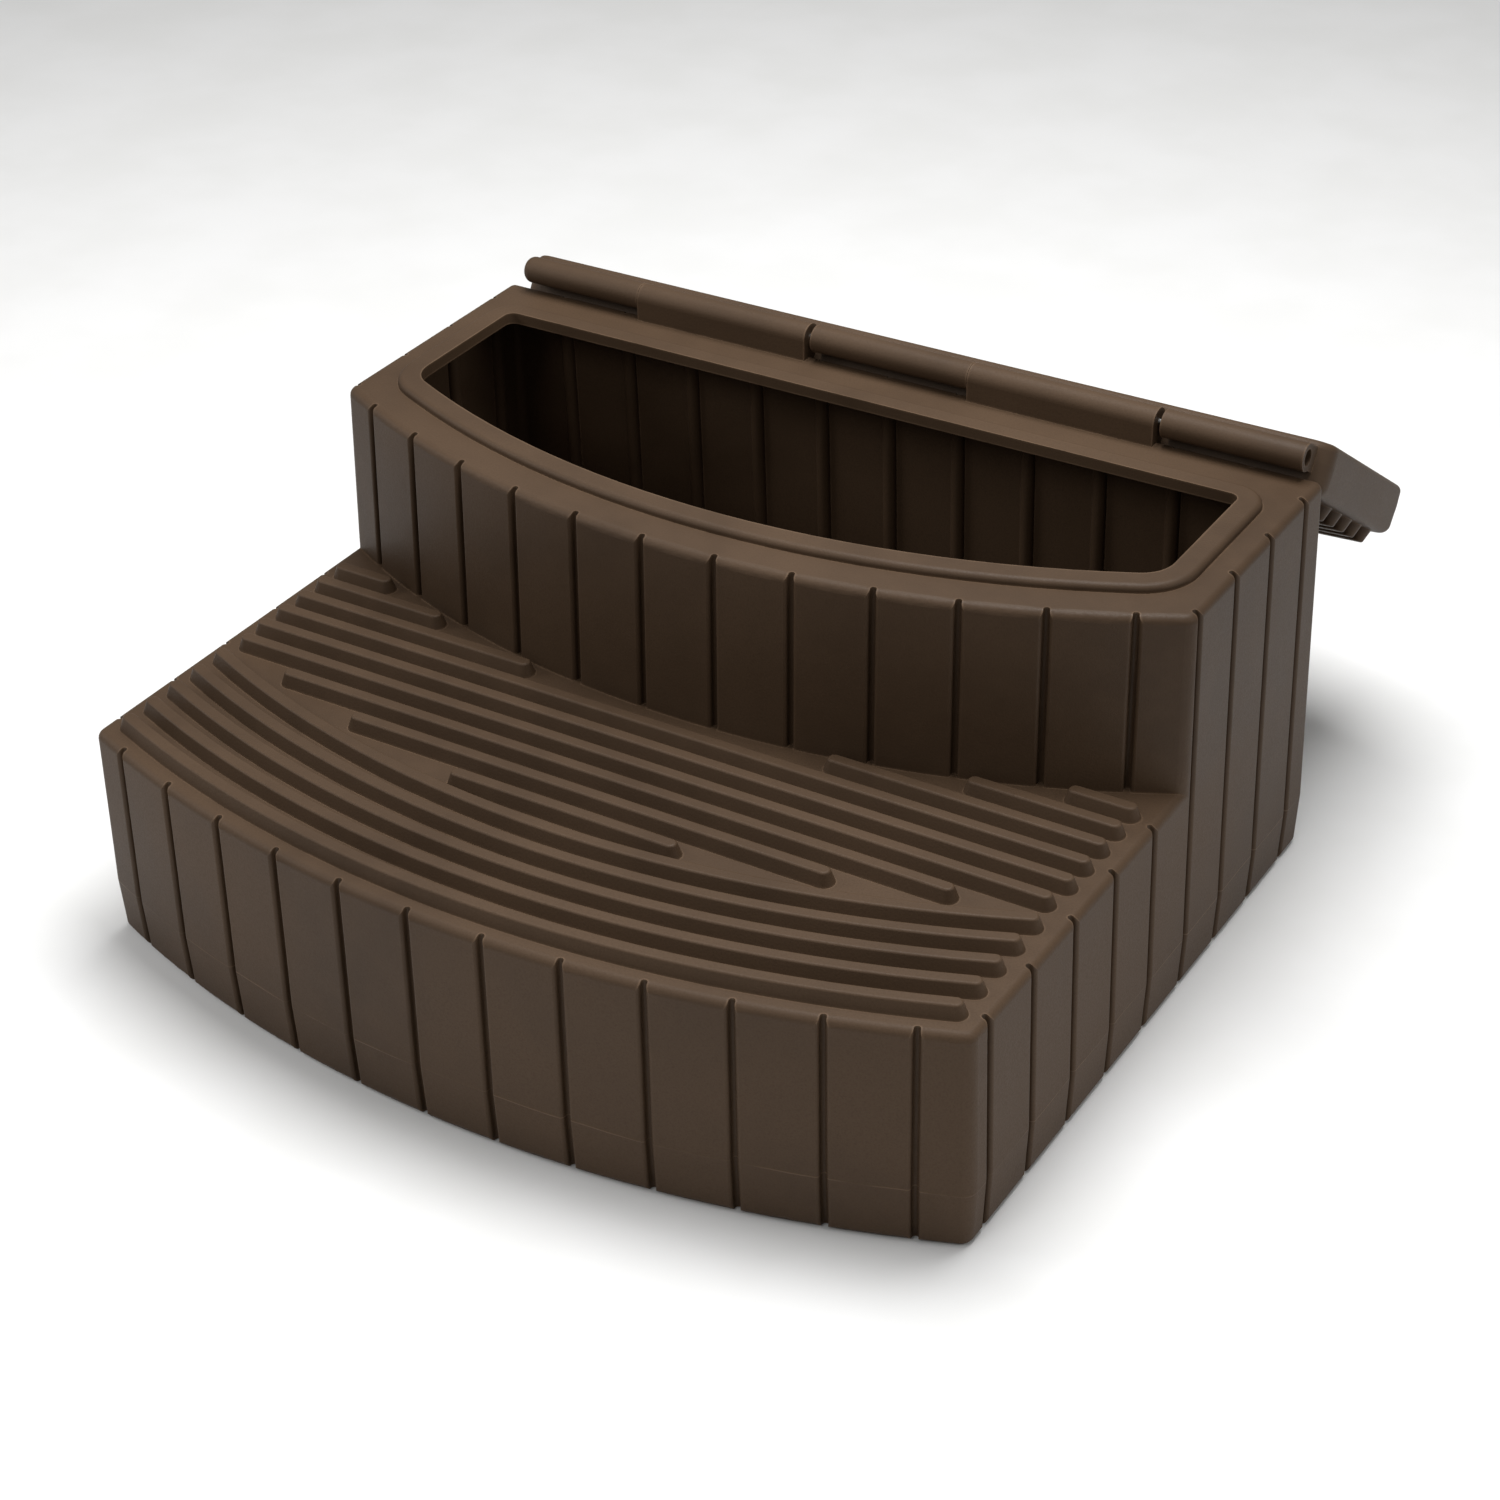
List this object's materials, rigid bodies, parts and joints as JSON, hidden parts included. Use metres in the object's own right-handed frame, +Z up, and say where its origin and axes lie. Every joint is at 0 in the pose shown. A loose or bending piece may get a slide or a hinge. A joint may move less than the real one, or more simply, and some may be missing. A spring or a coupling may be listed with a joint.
{
  "type": "spa steps",
  "caption": "Two-tread spa steps, blow-moulded, with a bowed front, grooved board walls and ribbed treads; the upper tread is a hinged lid over a storage bin.",
  "frame": {"origin": "on the floor, in the middle of the footprint of the body", "axes": "+Z up; +X to the right of a person who faces the steps; +Y towards the spa, at the rear"},
  "size_m": [0.912, 1.0948, 0.429],
  "materials": {
    "brown_polyethylene": "fine matte texture",
    "rod_steel": "zinc plated",
    "cap_steel": "zinc plated"
  },
  "bodies": {
    "body": {"body_shell": "brown_polyethylene"},
    "lid": {"storage_lid": "brown_polyethylene", "hinge_rod": "rod_steel", "rod_retainer": "cap_steel"}
  },
  "joints": [
    {"name": "lid_hinge", "type": "hinge", "parent": "body", "child": "lid", "pos_m": [0, 0.3801, 0.4155], "axis": [1, 0, 0], "range_deg": [0, 214.4]}
  ]
}
